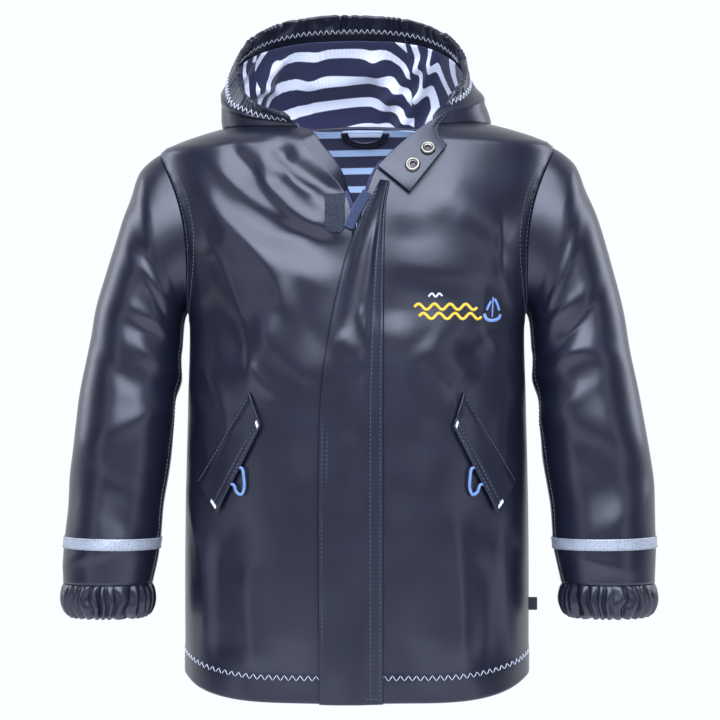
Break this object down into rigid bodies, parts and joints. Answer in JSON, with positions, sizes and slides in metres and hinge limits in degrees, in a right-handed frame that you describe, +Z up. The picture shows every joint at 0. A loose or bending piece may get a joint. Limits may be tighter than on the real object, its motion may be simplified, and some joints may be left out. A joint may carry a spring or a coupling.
{
  "type": "kids raincoat",
  "caption": "Hooded child's raincoat of coated cloth, filled out as worn, with a storm flap over the front zip, pocket flaps, gathered cuffs and a striped lining.",
  "frame": {"origin": "middle of the neck base, level with the inner ends of the shoulder seams", "axes": "+Z up along the wearer, +X to the wearer's left, -Y out of the front"},
  "size_m": [0.5328, 0.2344, 0.6175],
  "materials": {
    "shell_cloth": "satin, coated",
    "lining_jersey": "knit, striped navy and white",
    "reflective_tape": "silver, retroreflective",
    "hook_and_loop": "matt pile",
    "snap_metal": "antique nickel",
    "zip_plastic": "moulded",
    "pocket_cord": "braided",
    "label_pale": "woven, bare",
    "label_black": "woven, bare"
  },
  "bodies": {
    "root": {"front_right": "shell_cloth", "front_left": "shell_cloth", "back": "shell_cloth", "back_lining": "lining_jersey", "sleeve_right": "shell_cloth", "sleeve_left": "shell_cloth", "reflective_band_right": "reflective_tape", "reflective_band_left": "reflective_tape", "cuff_right": "shell_cloth", "cuff_left": "shell_cloth", "hood_side_left": "shell_cloth", "hood_centre": "shell_cloth", "hood_side_right": "shell_cloth", "hood_lining_side_left": "lining_jersey", "hood_lining_centre": "lining_jersey", "hood_lining_side_right": "lining_jersey", "hood_rim": "shell_cloth", "storm_flap": "shell_cloth", "hook_patch": "hook_and_loop", "loop_strip": "hook_and_loop", "zip_closed": "zip_plastic", "zip_slider": "snap_metal", "zip_open_right": "zip_plastic", "zip_open_left": "zip_plastic", "neck_band_right": "shell_cloth", "snap_tab": "shell_cloth", "snap_socket_upper": "snap_metal", "snap_socket_lower": "snap_metal", "pocket_flap_left": "shell_cloth", "pocket_flap_right": "shell_cloth", "cord_loop_left": "pocket_cord", "cord_loop_right": "pocket_cord", "neck_label": "label_pale", "hanger_loop": "shell_cloth", "side_label": "label_black"}
  },
  "joints": []
}
